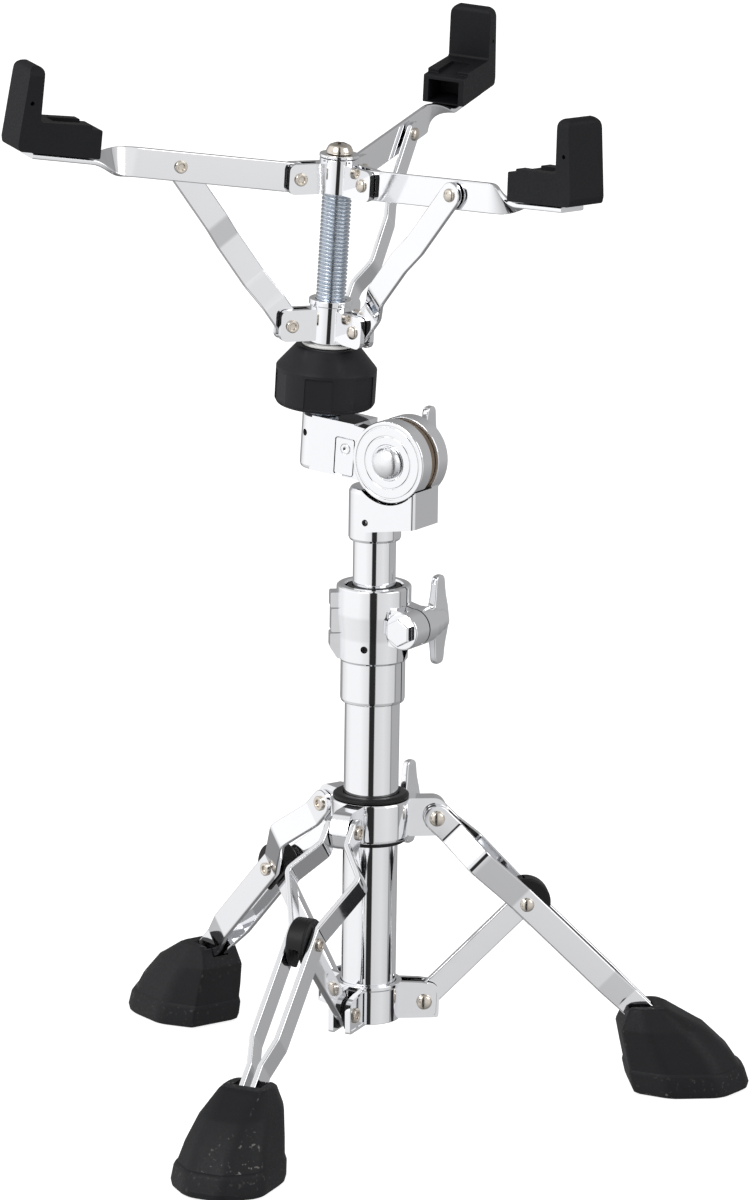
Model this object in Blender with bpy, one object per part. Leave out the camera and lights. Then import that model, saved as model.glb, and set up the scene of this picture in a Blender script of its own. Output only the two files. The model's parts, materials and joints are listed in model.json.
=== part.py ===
"""Snare drum stand: a folding tripod, a height tube, a tilter and a three-arm basket.

Sizes are in millimetres and turned into metres when a mesh is made. The world
origin is on the floor, under the middle of the whole stand, with +Z up.
"""

import math

import bmesh
import bpy
from mathutils import Matrix, Vector

MM = 0.001
GAP = 0.3
ROUND = 24
SMALL_ROUND = 10

# Column axis, measured from the world origin.
COLUMN_X = -6.08
COLUMN_Y = 1.93

# Tubes.
BASE_TUBE_R = 14.3
BASE_TUBE_BORE = 12.8
BASE_TUBE_BOTTOM = 41.4
BASE_TUBE_TOP = 266.0
UPPER_TUBE_R = 11.1
UPPER_TUBE_BORE = 9.6
UPPER_TUBE_BOTTOM = 74.0
UPPER_TUBE_TOP = 318.4

# Tripod. Each leg lies in a vertical plane through the column.
LEG_AZIMUTHS = (6.2, 126.2, 246.2)
LEG_PIVOT = (33.95, 150.0)
BRACE_TIP = (81.98, 102.7)
BRACE_PIVOT = (28.97, 50.0)
LEG_HALF_HEIGHT = 7.0
LEG_BAR = 3.0
BRACE_HALF_HEIGHT = 6.3
BRACE_HALF_THICK = 2.0
SPACER_R = 13.0
SPACER_DROP = 7.4
LEG_END = 160.0

# Collars.
COLLAR_BOTTOM = 139.6
COLLAR_TOP = 160.5
COLLAR_R = 20.7
LOWER_COLLAR_BOTTOM = 41.1
LOWER_COLLAR_TOP = 61.8
LOWER_COLLAR_R = 16.6
EAR_HALF = 5.3
COLLAR_BOLT_AZIMUTH = 56.0

# Height clamp and its bolt.
CLAMP_BOTTOM = 212.1
CLAMP_TOP = 274.3
CLAMP_BORE = 14.6
AXLE_AZIMUTH = 57.0
CLAMP_BOLT_OFFSET = 24.0
CLAMP_BOLT_Z = 254.0

# Wings: (reach from the axle, half their width along it, half their thickness).
WING_SECTIONS = ((4.0, 6.8, 2.6), (10.0, 5.9, 2.3), (17.0, 4.5, 2.1), (22.0, 3.8, 1.9), (23.6, 2.4, 1.5))
WING_MIDDLE = 12.4
COLLAR_WING_SHARE = 0.95

# Tilter.
TILT_OFFSET = 15.0
TILT_Z = 342.0
TILT_DISC_R = 21.5
TILT_REST = 3.15
DISC_FRONT = -12.1
DISC_BACK = 12.1
TILTER_ARM_BOTTOM = -98.5
TILTER_ARM_TOP = -69.5

# Basket, in its own frame: +Z along the rod, origin on the rod.
BASKET_OFFSET = -28.5
BASKET_Z = 430.0
ARM_AZIMUTHS = (-47.7, 67.2, 204.9)
ARM_PIVOT = (22.9, 54.4)
STRUT_TIP = (88.4, 62.5)
STRUT_PIVOT = (22.9, -22.3)
ARM_HALF_THICK = 1.35
TWIST_START = 92.0
STRUT_HALF_WIDTH = 6.6
STRUT_HALF_THICK = 1.3
STRUT_STEPS = ((0.0, 0.0), (0.15, 0.0), (0.27, -6.5), (0.52, -6.5), (0.64, -3.55), (1.0, -3.55))
ROD_R = 7.7
ROD_BOTTOM = -89.0
KNOB_TOP = -34.0
KNOB_SHOULDER = -44.8
KNOB_BOTTOM = -65.2
KNOB_R = 26.0
KNOB_SIDES = 12

PLACES = {}

MATERIALS = {
    "chrome": ((0.83, 0.84, 0.86), 0.08, 1.0),
    "rubber": ((0.022, 0.021, 0.026), 0.6, 0.0),
    "black_plastic": ((0.018, 0.017, 0.021), 0.4, 0.0),
    "rivet_metal": ((0.62, 0.55, 0.48), 0.28, 1.0),
    "zinc_thread": ((0.62, 0.66, 0.7), 0.3, 1.0),
    "brown_fibre": ((0.32, 0.25, 0.18), 0.55, 0.0),
    "white_nylon": ((0.85, 0.85, 0.83), 0.4, 0.0),
}


def clear_scene():
    for item in list(bpy.data.objects):
        bpy.data.objects.remove(item)


def polar(azimuth, radius, height):
    angle = math.radians(azimuth)
    return Vector((radius * math.cos(angle), radius * math.sin(angle), height))


def add_empty(name, matrix, parent=None):
    """An empty at a world matrix whose place is in millimetres. PLACES keeps the matrix in metres."""
    empty = bpy.data.objects.new(name, None)
    bpy.context.scene.collection.objects.link(empty)
    world = matrix.copy()
    world.translation = matrix.translation * MM
    PLACES[name] = world
    if parent:
        empty.parent = parent
        empty.matrix_parent_inverse = PLACES[parent.name].inverted()
    empty.matrix_basis = world
    return empty


def make_material(name, kind):
    colour, roughness, metallic = MATERIALS[kind]
    material = bpy.data.materials.new(name + "_" + kind)
    material.use_nodes = True
    shader = material.node_tree.nodes["Principled BSDF"]
    shader.inputs["Base Color"].default_value = (*colour, 1.0)
    shader.inputs["Roughness"].default_value = roughness
    shader.inputs["Metallic"].default_value = metallic
    material.diffuse_color = (*colour, 1.0)
    return material


def add_solid(name, mesh_data, kind, parent, place=None):
    """Makes a node from a bmesh in millimetres, in the frame of its parent or of place inside it."""
    bmesh.ops.recalc_face_normals(mesh_data, faces=mesh_data.faces)
    if place:
        bmesh.ops.transform(mesh_data, matrix=place, verts=mesh_data.verts)
    bmesh.ops.scale(mesh_data, vec=(MM, MM, MM), verts=mesh_data.verts)
    mesh = bpy.data.meshes.new(name)
    mesh_data.to_mesh(mesh)
    mesh_data.free()
    mesh.shade_smooth()
    mesh.set_sharp_from_angle(angle=math.radians(32))
    item = bpy.data.objects.new(name, mesh)
    bpy.context.scene.collection.objects.link(item)
    item.parent = parent
    item.data.materials.append(make_material(name, kind))
    return item


def cut(item, mesh_data, place=None):
    """Cuts a bmesh, given in the frame of the item's parent, out of the item."""
    apply_boolean(item, mesh_data, place, "DIFFERENCE")


def join(item, mesh_data, place=None):
    """Joins a bmesh, given in the frame of the item's parent, to the item."""
    apply_boolean(item, mesh_data, place, "UNION")


def apply_boolean(item, mesh_data, place, operation):
    helper = add_solid(item.name + "_helper", mesh_data, "chrome", item.parent, place)
    helper.hide_render = True
    helper.display_type = "WIRE"
    modifier = item.modifiers.new(operation.lower(), "BOOLEAN")
    modifier.operation = operation
    modifier.solver = "EXACT"
    modifier.object = helper


def loft(rings):
    """A closed solid through rings that all have the same number of points."""
    shape = bmesh.new()
    rows = [[shape.verts.new(point) for point in ring] for ring in rings]
    count = len(rows[0])
    for low, high in zip(rows, rows[1:]):
        for i in range(count):
            j = (i + 1) % count
            shape.faces.new((low[i], low[j], high[j], high[i]))
    shape.faces.new(rows[0])
    shape.faces.new(rows[-1])
    return shape


def turned(profile, sides=ROUND):
    """A solid of revolution about Z. A profile that starts and ends on the axis is closed by it, and any
    other profile is closed from its last point to its first, round a bore or under a roof."""
    shape = bmesh.new()
    rows = []
    for radius, height in profile:
        if radius == 0:
            rows.append([shape.verts.new((0, 0, height))])
            continue
        rows.append([
            shape.verts.new((
                radius * math.cos(2 * math.pi * i / sides),
                radius * math.sin(2 * math.pi * i / sides),
                height,
            ))
            for i in range(sides)
        ])
    pairs = [(low, high) for low, high in zip(rows, rows[1:]) if len(low) + len(high) > 2]
    if profile[0][0] != 0:
        pairs.append((rows[-1], rows[0]))
    for low, high in pairs:
        for i in range(sides):
            j = (i + 1) % sides
            corners = [low[i % len(low)], low[j % len(low)], high[j % len(high)], high[i % len(high)]]
            corners = list(dict.fromkeys(corners))
            if len(corners) > 2:
                shape.faces.new(corners)
    return shape


def box(low, high):
    """An axis-aligned block between two corners."""
    (x0, y0, z0), (x1, y1, z1) = low, high
    ring = ((x0, y0), (x1, y0), (x1, y1), (x0, y1))
    return loft([[(x, y, z) for x, y in ring] for z in (z0, z1)])


def prism(outline, low, high):
    """An outline of (x, z) points, given depth along Y."""
    return loft([[(x, y, z) for x, z in outline] for y in (low, high)])


def cylinder(radius, low, high, sides=SMALL_ROUND):
    return turned([(0, low), (radius, low), (radius, high), (0, high)], sides)


def arc(centre, radius, start, end, steps):
    """Points of an arc from start to end degrees, both included."""
    cx, cz = centre
    angles = [math.radians(start + (end - start) * i / steps) for i in range(steps + 1)]
    return [(cx + radius * math.cos(a), cz + radius * math.sin(a)) for a in angles]


def along_y(x, z):
    """Turns a shape made along Z so that it lies along Y at the given x and z."""
    return Matrix.Translation((x, 0, z)) @ Matrix.Rotation(-math.pi / 2, 4, "X")


def frame_at(azimuth, origin):
    """A frame whose X points outwards along the azimuth."""
    return Matrix.Translation(origin) @ Matrix.Rotation(math.radians(azimuth), 4, "Z")


def tilted(slope, x, z):
    """A frame in the XZ plane at (x, z) whose X climbs by slope degrees."""
    return Matrix.Translation((x, 0, z)) @ Matrix.Rotation(-math.radians(slope), 4, "Y")


def slope_and_length(start, end):
    dx, dz = end[0] - start[0], end[1] - start[1]
    return math.degrees(math.atan2(dz, dx)), math.hypot(dx, dz)


def rounded_stations(length, half_height, far_end_round=True):
    """(distance, half height) of a bar between two pivots, with round ends."""
    near = [(-half_height * math.cos(math.radians(a)), half_height * math.sin(math.radians(a)))
            for a in (12, 40, 66)]
    stations = near + [(0, half_height)]
    if far_end_round:
        stations += [(length, half_height)]
        stations += [(length - s, h) for s, h in reversed(near)]
    return stations


def rivet(name, parent, half_width, radius=2.6, head=4.0):
    """A rivet across a pivot, domed on -Y and rolled over a ring on +Y."""
    inner = half_width + GAP
    profile = [(0, -inner - 2.3), (head * 0.6, -inner - 1.9), (head, -inner - 0.7), (head, -inner),
               (radius, -inner), (radius, inner), (head, inner), (head, inner + 0.7),
               (head * 0.6, inner + 1.3), (0, inner + 0.7)]
    return add_solid(name, turned(profile, SMALL_ROUND), "rivet_metal", parent, along_y(0, 0))


def pivot_hole(item, half_width, radius=2.9, x=0, z=0):
    cut(item, cylinder(radius, -half_width, half_width), along_y(x, z))


def make_column(column):
    tube = [(BASE_TUBE_BORE, BASE_TUBE_BOTTOM), (BASE_TUBE_R, BASE_TUBE_BOTTOM),
            (BASE_TUBE_R, BASE_TUBE_TOP), (BASE_TUBE_BORE, BASE_TUBE_TOP)]
    add_solid("base_tube", turned(tube), "chrome", column)
    make_lower_collar(column)
    make_height_clamp(column)
    plug_r = BASE_TUBE_BORE - GAP
    plug = [(0, 41.6), (plug_r - 0.8, 41.6), (plug_r, 42.4), (plug_r, 52.0), (0, 52.0)]
    add_solid("tube_end_plug", turned(plug), "black_plastic", column)


def make_lower_collar(column):
    bore = BASE_TUBE_R + GAP
    ring = [(bore, LOWER_COLLAR_BOTTOM), (LOWER_COLLAR_R, LOWER_COLLAR_BOTTOM),
            (LOWER_COLLAR_R, LOWER_COLLAR_TOP), (bore, LOWER_COLLAR_TOP)]
    collar = add_solid("lower_collar", turned(ring), "chrome", column)
    reach, middle = BRACE_PIVOT
    outline = [(bore + 0.5, LOWER_COLLAR_BOTTOM + 0.4), (reach + 8.0, LOWER_COLLAR_BOTTOM + 0.4),
               (reach + 8.0, middle + 2.0)]
    outline += arc((reach, middle + 2.0), 8.0, 12, 78, 3)
    outline += [(reach - 2.0, middle + 10.0), (bore + 0.5, LOWER_COLLAR_TOP - 0.6)]
    for azimuth in LEG_AZIMUTHS:
        place = frame_at(azimuth, (0, 0, 0))
        for low, high in ((-6.2, -3.4), (3.4, 6.2)):
            join(collar, prism(outline, low, high), place)
        cut(collar, cylinder(2.9, -9, 9), place @ along_y(*BRACE_PIVOT))


def make_height_clamp(column):
    profile = [(CLAMP_BORE, CLAMP_BOTTOM), (16.4, CLAMP_BOTTOM), (16.8, CLAMP_BOTTOM + 1),
               (16.8, 234.0), (18.0, 235.0), (18.6, 250.0), (19.4, 256.0), (19.4, CLAMP_TOP - 1),
               (18.6, CLAMP_TOP), (CLAMP_BORE, CLAMP_TOP)]
    clamp = add_solid("height_clamp", turned(profile), "chrome", column)
    place = frame_at(AXLE_AZIMUTH - 90, (0, 0, 0))
    boss = along_y(CLAMP_BOLT_OFFSET, CLAMP_BOLT_Z)
    join(clamp, cylinder(9.8, -11.0, 11.0, 16), place @ boss)
    join(clamp, box((15.5, -10.0, CLAMP_BOLT_Z - 9), (CLAMP_BOLT_OFFSET, 10.0, CLAMP_BOLT_Z + 9)), place)
    cut(clamp, cylinder(CLAMP_BORE, CLAMP_BOTTOM - 1, CLAMP_TOP + 1, ROUND))
    cut(clamp, box((12.0, 1.0, CLAMP_BOTTOM - 1), (40.0, 3.5, CLAMP_TOP + 1)), place)
    cut(clamp, cylinder(3.4, -12, 12), place @ boss)
    rib = box((17.5, -4.5, CLAMP_TOP - 39), (22.5, 4.5, CLAMP_TOP - 4))
    join(clamp, rib, frame_at(186, (0, 0, 0)))
    bolt = [(0, -14.4), (7.2, -14.4), (7.2, -11.3), (3.0, -11.3), (3.0, 27.0), (0, 27.0)]
    add_solid("clamp_hex_bolt", turned(bolt, 6), "chrome", column, place @ boss)


def make_clamp_wing_nut(column):
    place = frame_at(AXLE_AZIMUTH - 90, (0, 0, 0)) @ along_y(CLAMP_BOLT_OFFSET, CLAMP_BOLT_Z)
    make_wing_nut("clamp_wing_nut", column, place, 11.4, 3.4)


def make_wing_nut(name, parent, place, start, bore):
    """A wing nut that starts at the given distance along its axle, wings upright."""
    hub = [(bore, start), (8.4, start), (8.4, start + 5), (6.6, start + 7), (6.6, start + 16.0),
           (4.6, start + 18.0), (bore, start + 18.0)]
    nut = add_solid(name, turned(hub, 14), "chrome", parent, place)
    join_wings(nut, place, start + WING_MIDDLE)


def join_wings(item, place, middle, share=1.0):
    """Joins two upright wings at a distance along the axle, their reach scaled by share."""
    upright = place @ Matrix.Rotation(math.pi / 2, 4, "Z")
    for way in (1, -1):
        rings = []
        for reach, half, thick in WING_SECTIONS:
            x, low, high = way * reach * share, middle - half, middle + half
            rings.append([(x, -thick, low), (x, thick, low), (x, thick, high), (x, -thick, high)])
        join(item, loft(rings), upright)


def make_sliding_collar(collar):
    bore = BASE_TUBE_R + 2.6
    ring = [(bore, COLLAR_BOTTOM), (COLLAR_R, COLLAR_BOTTOM), (COLLAR_R, COLLAR_TOP), (bore, COLLAR_TOP)]
    body = add_solid("sliding_collar", turned(ring), "chrome", collar)
    reach, middle = LEG_PIVOT
    outline = [(bore + 1.0, COLLAR_BOTTOM + 0.3), (reach - 1.0, COLLAR_BOTTOM + 0.3)]
    outline += arc((reach, middle), 8.0, -70, 70, 5)
    outline += [(reach - 1.0, COLLAR_TOP - 0.3), (bore + 1.0, COLLAR_TOP - 0.3)]
    for azimuth in LEG_AZIMUTHS:
        place = frame_at(azimuth, (0, 0, 0))
        join(body, prism(outline, -EAR_HALF + GAP, EAR_HALF - GAP), place)
        cut(body, cylinder(2.9, -9, 9), place @ along_y(*LEG_PIVOT))
    bolt_place = frame_at(COLLAR_BOLT_AZIMUTH - 90, (0, 0, 0)) @ along_y(0, LEG_PIVOT[1])
    join(body, cylinder(8.0, bore + 1.0, 26.0, 20), bolt_place)
    cut(body, cylinder(3.4, 12.0, 28.0), bolt_place)
    inner = BASE_TUBE_R + GAP
    outer = bore - GAP
    bush = [(inner, COLLAR_BOTTOM - 2.4), (18.6, COLLAR_BOTTOM - 2.4), (18.6, COLLAR_BOTTOM - GAP),
            (outer, COLLAR_BOTTOM - GAP), (outer, COLLAR_TOP + GAP), (19.8, COLLAR_TOP + GAP),
            (19.8, COLLAR_TOP + 2.0), (18.6, COLLAR_TOP + 2.8), (inner, COLLAR_TOP + 2.8)]
    bushing = add_solid("collar_bushing", turned(bush), "black_plastic", collar)
    cut(bushing, cylinder(3.4, 12.0, 28.0), bolt_place)
    screw = [(0, 14.9), (3.0, 14.9), (3.0, 26.3), (7.4, 26.3), (7.4, 29.0), (6.2, 31.0), (6.2, 40.0),
             (4.2, 42.0), (0, 42.0)]
    wing = add_solid("collar_wing_bolt", turned(screw, 14), "chrome", collar, bolt_place)
    join_wings(wing, bolt_place, 35.6, COLLAR_WING_SHARE)


def leg_bar_stations():
    """(distance from the pivot, outer face, half height) along a leg bar, bowed between its pivots."""
    round_end = rounded_stations(0, LEG_HALF_HEIGHT, far_end_round=False)
    stations = [(s, 8.3, h) for s, h in round_end]
    stations += [(11.5, 8.6, 7.0), (29.5, 22.0, 7.0), (61.5, 8.4, 7.0), (126.0, 8.4, 7.0), (143.0, 4.6, 7.0),
                 (LEG_END, 4.6, 7.0)]
    return stations


def make_leg_bar(name, leg, side, slope):
    rings = []
    stations = leg_bar_stations()
    for i, (s, outer, half) in enumerate(stations):
        before = stations[max(i - 1, 0)]
        after = stations[min(i + 1, len(stations) - 1)]
        lean = (after[1] - before[1]) / (after[0] - before[0])
        inner = outer - LEG_BAR * math.hypot(1, lean)
        rings.append([(s, side * outer, half), (s, side * outer, -half),
                      (s, side * inner, -half), (s, side * inner, half)])
    bar = add_solid(name, loft(rings), "chrome", leg, tilted(slope, 0, 0))
    pivot_hole(bar, 12)
    dx, dz = BRACE_TIP[0] - LEG_PIVOT[0], BRACE_TIP[1] - LEG_PIVOT[1]
    pivot_hole(bar, 12, 2.4, dx, dz)


def make_leg(number, leg):
    slope, length = slope_and_length(LEG_PIVOT, BRACE_TIP)
    make_leg_bar(f"leg_{number}_left_bar", leg, 1, slope)
    make_leg_bar(f"leg_{number}_right_bar", leg, -1, slope)
    along = tilted(slope, 0, 0)
    spacer = add_solid(f"leg_{number}_spacer", cylinder(SPACER_R, -5.0, 5.0, 18), "black_plastic", leg,
                       along @ along_y(length, 0))
    cut(spacer, box((length - 10.2, -2.9, -20), (length + 20, 2.9, 8.8)), along)
    cut(spacer, box((length - 20, -6.0, -20), (length + 20, 6.0, -SPACER_DROP)), along)
    make_foot(number, leg, along)


def foot_rings():
    """Rings of the rubber foot in the leg's upright frame: x from the column, y across, z from the floor."""
    levels = (
        (0.0, 141.0, 199.5, 24.5, 14.0, 15.0),
        (4.0, 138.5, 202.0, 26.0, 15.0, 16.0),
        (20.0, 135.0, 196.0, 23.5, 14.0, 14.0),
        (34.0, 132.5, 178.0, 19.0, 12.5, 10.0),
        (48.0, 138.0, 158.5, 12.5, 10.5, 3.0),
    )
    rings = []
    for z, heel, toe, half, heel_half, corner in levels:
        mid = heel + (toe - heel) * 0.28
        front = toe - corner * 0.55
        rings.append([(heel, -heel_half, z), (mid, -half, z), (front, -half, z), (toe, -half + corner, z),
                      (toe, half - corner, z), (front, half, z), (mid, half, z), (heel, heel_half, z)])
    return rings


def make_foot(number, leg, along):
    place = Matrix.Translation((-LEG_PIVOT[0], 0, -LEG_PIVOT[1]))
    foot = add_solid(f"foot_{number}", loft(foot_rings()), "rubber", leg, place)
    pocket = box((110, -4.9, -7.4), (LEG_END + 0.6, 4.9, 7.4))
    cut(foot, pocket, along)


def make_brace(number, brace):
    slope, length = slope_and_length(BRACE_PIVOT, BRACE_TIP)
    rings = []
    for s, half in rounded_stations(length, BRACE_HALF_HEIGHT):
        half = min(half, BRACE_HALF_HEIGHT)
        rings.append([(s, -BRACE_HALF_THICK, half), (s, -BRACE_HALF_THICK, -half),
                      (s, BRACE_HALF_THICK, -half), (s, BRACE_HALF_THICK, half)])
    bar = add_solid(f"brace_{number}", loft(rings), "chrome", brace, tilted(slope, 0, 0))
    pivot_hole(bar, 5)


def make_height_tube(swivel, mast):
    bush = [(UPPER_TUBE_R + GAP, 214.0), (BASE_TUBE_BORE - GAP, 214.0),
            (BASE_TUBE_BORE - GAP, BASE_TUBE_TOP + GAP), (14.2, BASE_TUBE_TOP + GAP), (14.2, 273.0),
            (13.4, 273.8), (UPPER_TUBE_R + GAP, 273.8)]
    add_solid("clamp_bushing", turned(bush), "black_plastic", swivel)
    tube = [(UPPER_TUBE_BORE, UPPER_TUBE_BOTTOM), (UPPER_TUBE_R, UPPER_TUBE_BOTTOM),
            (UPPER_TUBE_R, UPPER_TUBE_TOP), (UPPER_TUBE_BORE, UPPER_TUBE_TOP)]
    add_solid("upper_tube", turned(tube), "chrome", mast)


def make_tilter_base(mast):
    """The lower casting: a socket on the tube, a block beside it, and the rear disc."""
    socket = [(UPPER_TUBE_R + GAP, 297.9), (13.0, 297.9), (13.65, 299.0), (13.65, 324.0), (12.6, 326.0),
              (0, 326.0), (0, UPPER_TUBE_TOP + GAP), (UPPER_TUBE_R + GAP, UPPER_TUBE_TOP + GAP)]
    place = frame_at(AXLE_AZIMUTH - 90, (0, 0, 0))
    base = add_solid("tilter_base", turned(socket), "chrome", mast)
    axle = along_y(TILT_OFFSET, TILT_Z)
    block = [(0, 303.5), (32.3, 309.0), (32.3, 331.0), (0, 331.0)]
    join(base, prism(block, -13.4, 11.0), place)
    cut(base, cylinder(UPPER_TUBE_R + GAP, 290.0, UPPER_TUBE_TOP + GAP, ROUND), place)
    cut(base, cylinder(TILT_DISC_R + 0.5, -16.0, 3.2, ROUND), place @ axle)
    join(base, cylinder(TILT_DISC_R, 2.8, DISC_BACK, ROUND), place @ axle)
    cut(base, cylinder(3.9, -13, 13), place @ axle)


def make_tilter_arm(tilt):
    """The upper casting: a socket on the rod, an arm, and the front disc. Its frame is on the axle,
    with X along the arm and Y along the axle."""
    axle_x, axle_z = axle_in_basket()
    rod_x, rod_z = -axle_x, -axle_z
    low, high = TILTER_ARM_BOTTOM, TILTER_ARM_TOP
    socket = [(0, low), (10.2, low), (11.0, low + 0.9), (11.0, high - 0.5), (10.0, high + 0.5),
              (ROD_R + GAP, high + 0.5), (ROD_R + GAP, ROD_BOTTOM - GAP), (0, ROD_BOTTOM - GAP)]
    casting = add_solid("tilter_arm", turned(socket), "chrome", tilt,
                        Matrix.Translation((rod_x, 0, rod_z)))
    block = [(0, low), (25.0, low), (25.0, high), (0, high)]
    place = Matrix.Translation((rod_x, 0, rod_z))
    join(casting, prism(block, -10.9, 10.9), place)
    cut(casting, cylinder(ROD_R + GAP, ROD_BOTTOM - GAP, -60, ROUND), place)
    cheek = [(20.0, low), (axle_x - 8, low), (axle_x - 8, high - 1.5), (20.0, high)]
    join(casting, prism(cheek, -10.9, -3.5), place)
    join(casting, cylinder(TILT_DISC_R, DISC_FRONT, -3.1, ROUND), along_y(0, 0))
    cut(casting, cylinder(3.9, -13, 13), along_y(0, 0))
    key_x, key_z = rod_x + 21.0, rod_z - 87.6
    cut(casting, box((key_x - 5.9, -12.0, key_z - 9.9), (key_x + 5.9, -7.0, key_z + 9.9)))
    add_solid("tilter_key_plate", box((key_x - 5.6, -10.9, key_z - 9.6), (key_x + 5.6, -7.3, key_z + 9.6)),
              "chrome", tilt)
    bolt = [(0, -17.6), (4.6, -16.6), (7.6, -14.2), (8.4, -12.4), (3.5, -12.4), (3.5, 27.0), (0, 27.0)]
    add_solid("tilter_bolt", turned(bolt, 16), "chrome", tilt, along_y(0, 0))
    washer = [(3.9, -2.8), (19.6, -2.8), (19.6, 2.5), (3.9, 2.5)]
    add_solid("tilter_washer", turned(washer), "brown_fibre", tilt, along_y(0, 0))


def axle_in_basket():
    """The axle's place in the basket's frame, as (x, z)."""
    lean = math.radians(TILT_REST)
    dx, dz = TILT_OFFSET - BASKET_OFFSET, TILT_Z - BASKET_Z
    return (dx * math.cos(lean) - dz * math.sin(lean), dx * math.sin(lean) + dz * math.cos(lean))


def make_rod(basket):
    """The threaded rod, with a plain neck through the upper hub."""
    rod = [(0, ROD_BOTTOM), (ROD_R, ROD_BOTTOM), (ROD_R, 46.0), (5.4, 46.0), (5.4, 64.2), (2.9, 64.2),
           (2.9, 54.0), (0, 54.0)]
    add_solid("threaded_rod", turned(rod, 20), "zinc_thread", basket)
    screw = [(0, 56.0), (2.6, 56.0), (2.6, 66.7), (6.9, 66.7), (6.9, 68.4), (5.2, 71.0), (2.4, 72.1), (0, 72.3)]
    add_solid("top_screw", turned(screw, 14), "rivet_metal", basket)
    washer = [(2.9, 64.8), (10.2, 64.8), (10.2, 66.4), (2.9, 66.4)]
    add_solid("top_washer", turned(washer, 20), "chrome", basket)


def make_hub(name, parent, profile, pivot, low, high):
    """A hub with a forked ear for each arm."""
    hub = add_solid(name, turned(profile, 20), "chrome", parent)
    reach, middle = pivot
    inner = 8.6
    outline = [(inner, low), (reach + 2.6, low)]
    outline += arc((reach + 2.0, low + 4.4), 4.4, -70, -8, 2)
    outline += arc((reach + 2.0, high - 4.4), 4.4, 8, 70, 2)
    outline += [(reach + 2.6, high), (inner, high)]
    for azimuth in ARM_AZIMUTHS:
        place = frame_at(azimuth, (0, 0, 0))
        join(hub, prism(outline, -4.7, 4.7), place)
    for azimuth in ARM_AZIMUTHS:
        place = frame_at(azimuth, (0, 0, 0))
        cut(hub, box((reach - 10.2, -1.9, low - 3), (reach + 12, 1.9, high + 3)), place)
        cut(hub, cylinder(2.2, -8, 8, 12), place @ along_y(*pivot))
    return hub


def make_hubs(basket, slider):
    upper = [(5.7, 46.4), (10.0, 46.4), (10.0, 64.4), (5.7, 64.4)]
    make_hub("upper_hub", basket, upper, ARM_PIVOT, 46.5, 62.3)
    bore = ROD_R + GAP
    lower = [(bore, -32.0), (10.4, -32.0), (10.4, -12.0), (11.2, -11.6), (11.2, -9.4), (bore, -9.4)]
    make_hub("lower_hub", slider, lower, STRUT_PIVOT, -30.4, -14.0)
    washer = [(bore, -33.7), (13.4, -33.7), (13.4, -32.3), (bore, -32.3)]
    add_solid("knob_washer", turned(washer, 20), "white_nylon", slider)


def make_knob(knob):
    """The height knob: a cone over a faceted skirt, with a threaded bore."""
    bore = ROD_R + GAP
    profile = [(bore, KNOB_TOP), (16.4, KNOB_TOP), (KNOB_R - 0.8, KNOB_SHOULDER), (KNOB_R, KNOB_BOTTOM + 1.2),
               (KNOB_R - 1.6, KNOB_BOTTOM), (bore, KNOB_BOTTOM)]
    add_solid("height_knob", turned(profile[::-1], KNOB_SIDES * 2), "black_plastic", knob)


def make_arm(number, arm):
    """A flat bar that stands on edge at the hub and is twisted flat under the pad."""
    slope, length = slope_and_length(ARM_PIVOT, STRUT_TIP)
    stations = [(-6.6, 3.0, 0), (-5.2, 6.2, 0), (0, 7.8, 0), (TWIST_START, 7.8, 0)]
    stations += [(TWIST_START + 4.0 * i, 7.8 - 0.12 * i, 15.0 * i) for i in range(1, 7)]
    stations += [(150.0, 7.1, 90)]
    rings = []
    for s, half, twist in stations:
        angle = math.radians(twist)
        drop = -math.sin(angle)
        ring = []
        for across, up in ((-1, 1), (-1, -1), (1, -1), (1, 1)):
            y, z = across * ARM_HALF_THICK, up * half
            ring.append((s, y * math.cos(angle) - z * math.sin(angle),
                         y * math.sin(angle) + z * math.cos(angle) + drop))
        rings.append(ring)
    bar = add_solid(f"arm_{number}", loft(rings), "chrome", arm, tilted(slope, 0, 0))
    pivot_hole(bar, 4, 2.2)
    dx, dz = STRUT_TIP[0] - ARM_PIVOT[0], STRUT_TIP[1] - ARM_PIVOT[1]
    pivot_hole(bar, 4, 2.2, dx, dz)


def make_pad(number, arm):
    """The L-shaped rubber rest, in the basket's frame moved to the arm's pivot."""
    to_pivot = Matrix.Translation((-ARM_PIVOT[0], 0, -ARM_PIVOT[1]))
    outline = [(137.0, 69.9), (181.0, 75.3), (181.6, 78.0), (176.5, 114.5), (174.0, 118.6), (170.5, 117.6),
               (168.6, 113.5), (170.0, 89.6), (152.0, 88.2), (148.5, 85.6), (136.4, 84.6)]
    add_solid(f"pad_{number}", prism(outline, -11.5, 11.5), "rubber", arm, to_pivot)


def step_aside(share):
    """How far a strut's middle lies to one side at a share of its length."""
    if share <= 0:
        return STRUT_STEPS[0][1]
    for (s0, y0), (s1, y1) in zip(STRUT_STEPS, STRUT_STEPS[1:]):
        if share <= s1:
            return y0 + (y1 - y0) * (share - s0) / (s1 - s0)
    return STRUT_STEPS[-1][1]


def make_strut(number, strut):
    """A flat bar from the lower hub up to the outside of its arm, stepped sideways on the way."""
    slope, length = slope_and_length(STRUT_PIVOT, STRUT_TIP)
    rings = []
    stations = rounded_stations(length, STRUT_HALF_WIDTH)
    middle = [(length * share, STRUT_HALF_WIDTH) for share, _ in STRUT_STEPS[1:-1]]
    stations = stations[:4] + middle + stations[4:]
    for s, half in stations:
        y = step_aside(s / length)
        low, high = y - STRUT_HALF_THICK, y + STRUT_HALF_THICK
        rings.append([(s, low, half), (s, low, -half), (s, high, -half), (s, high, half)])
    bar = add_solid(f"strut_{number}", loft(rings), "chrome", strut, tilted(slope, 0, 0))
    pivot_hole(bar, 4, 2.2)


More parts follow.
